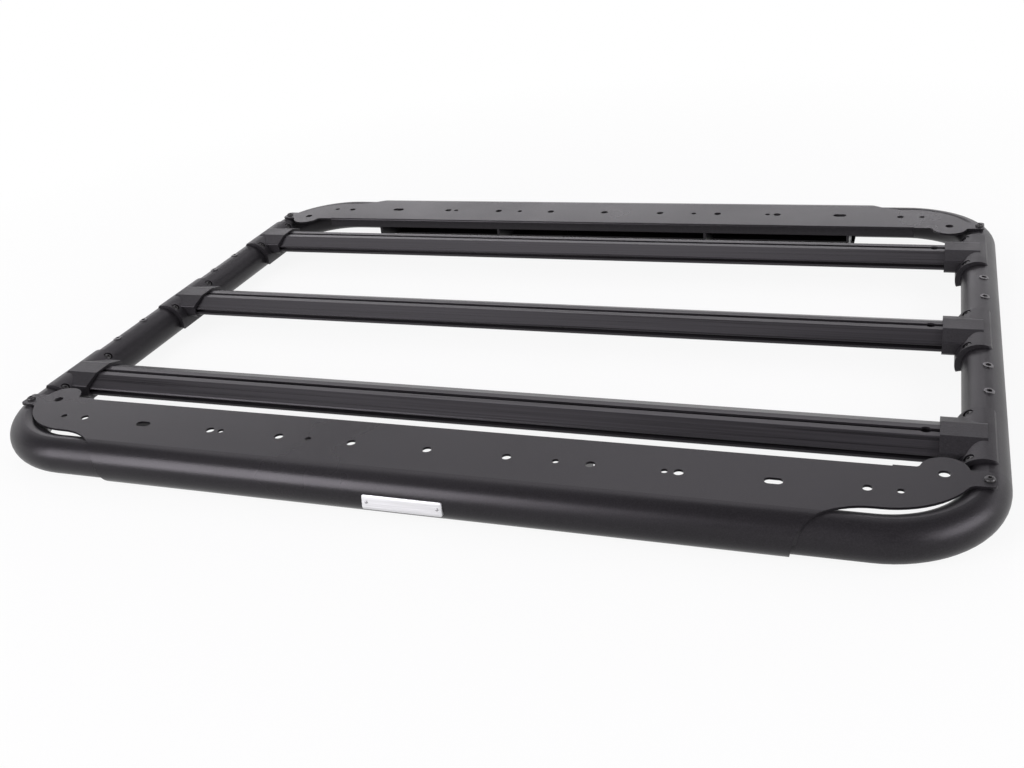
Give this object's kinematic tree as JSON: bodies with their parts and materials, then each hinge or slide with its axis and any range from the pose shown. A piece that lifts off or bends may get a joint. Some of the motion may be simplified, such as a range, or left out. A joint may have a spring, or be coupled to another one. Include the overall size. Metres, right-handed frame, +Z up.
{
  "type": "flat platform roof rack",
  "caption": "Flat platform roof rack: a bent tube ring with drilled sheet fairings at front and rear and slotted crossbars on cast end brackets.",
  "frame": {"origin": "centre of the rack in plan, at the level of the flat underside of the fairings", "axes": "+X along the crossbars to the rack's right, +Y from front to rear, +Z up"},
  "size_m": [1.3006, 0.9812, 0.0596],
  "materials": {
    "tube": "fine textured black powder coat",
    "sheet": "fine textured black powder coat",
    "extrusion": "satin black coat",
    "casting": "satin black coat",
    "insert": "zinc plated"
  },
  "bodies": {
    "root": {"left_tube": "tube", "right_tube": "tube", "front_splice": "tube", "rear_splice": "tube", "front_fairing": "sheet", "rear_fairing": "sheet", "front_right_end_rib": "sheet", "front_left_end_rib": "sheet", "front_left_rib": "sheet", "front_right_rib": "sheet", "rear_right_end_rib": "sheet", "rear_left_end_rib": "sheet", "rear_left_rib": "sheet", "rear_right_rib": "sheet", "front_crossbar": "extrusion", "middle_crossbar": "extrusion", "rear_crossbar": "extrusion", "front_left_bracket": "casting", "front_right_bracket": "casting", "middle_left_bracket": "casting", "middle_right_bracket": "casting", "rear_left_bracket": "casting", "rear_right_bracket": "casting", "left_insert_1": "insert", "left_insert_2": "insert", "left_insert_3": "insert", "left_insert_4": "insert", "right_insert_1": "insert", "right_insert_2": "insert", "right_insert_3": "insert", "right_insert_4": "insert"}
  },
  "joints": []
}
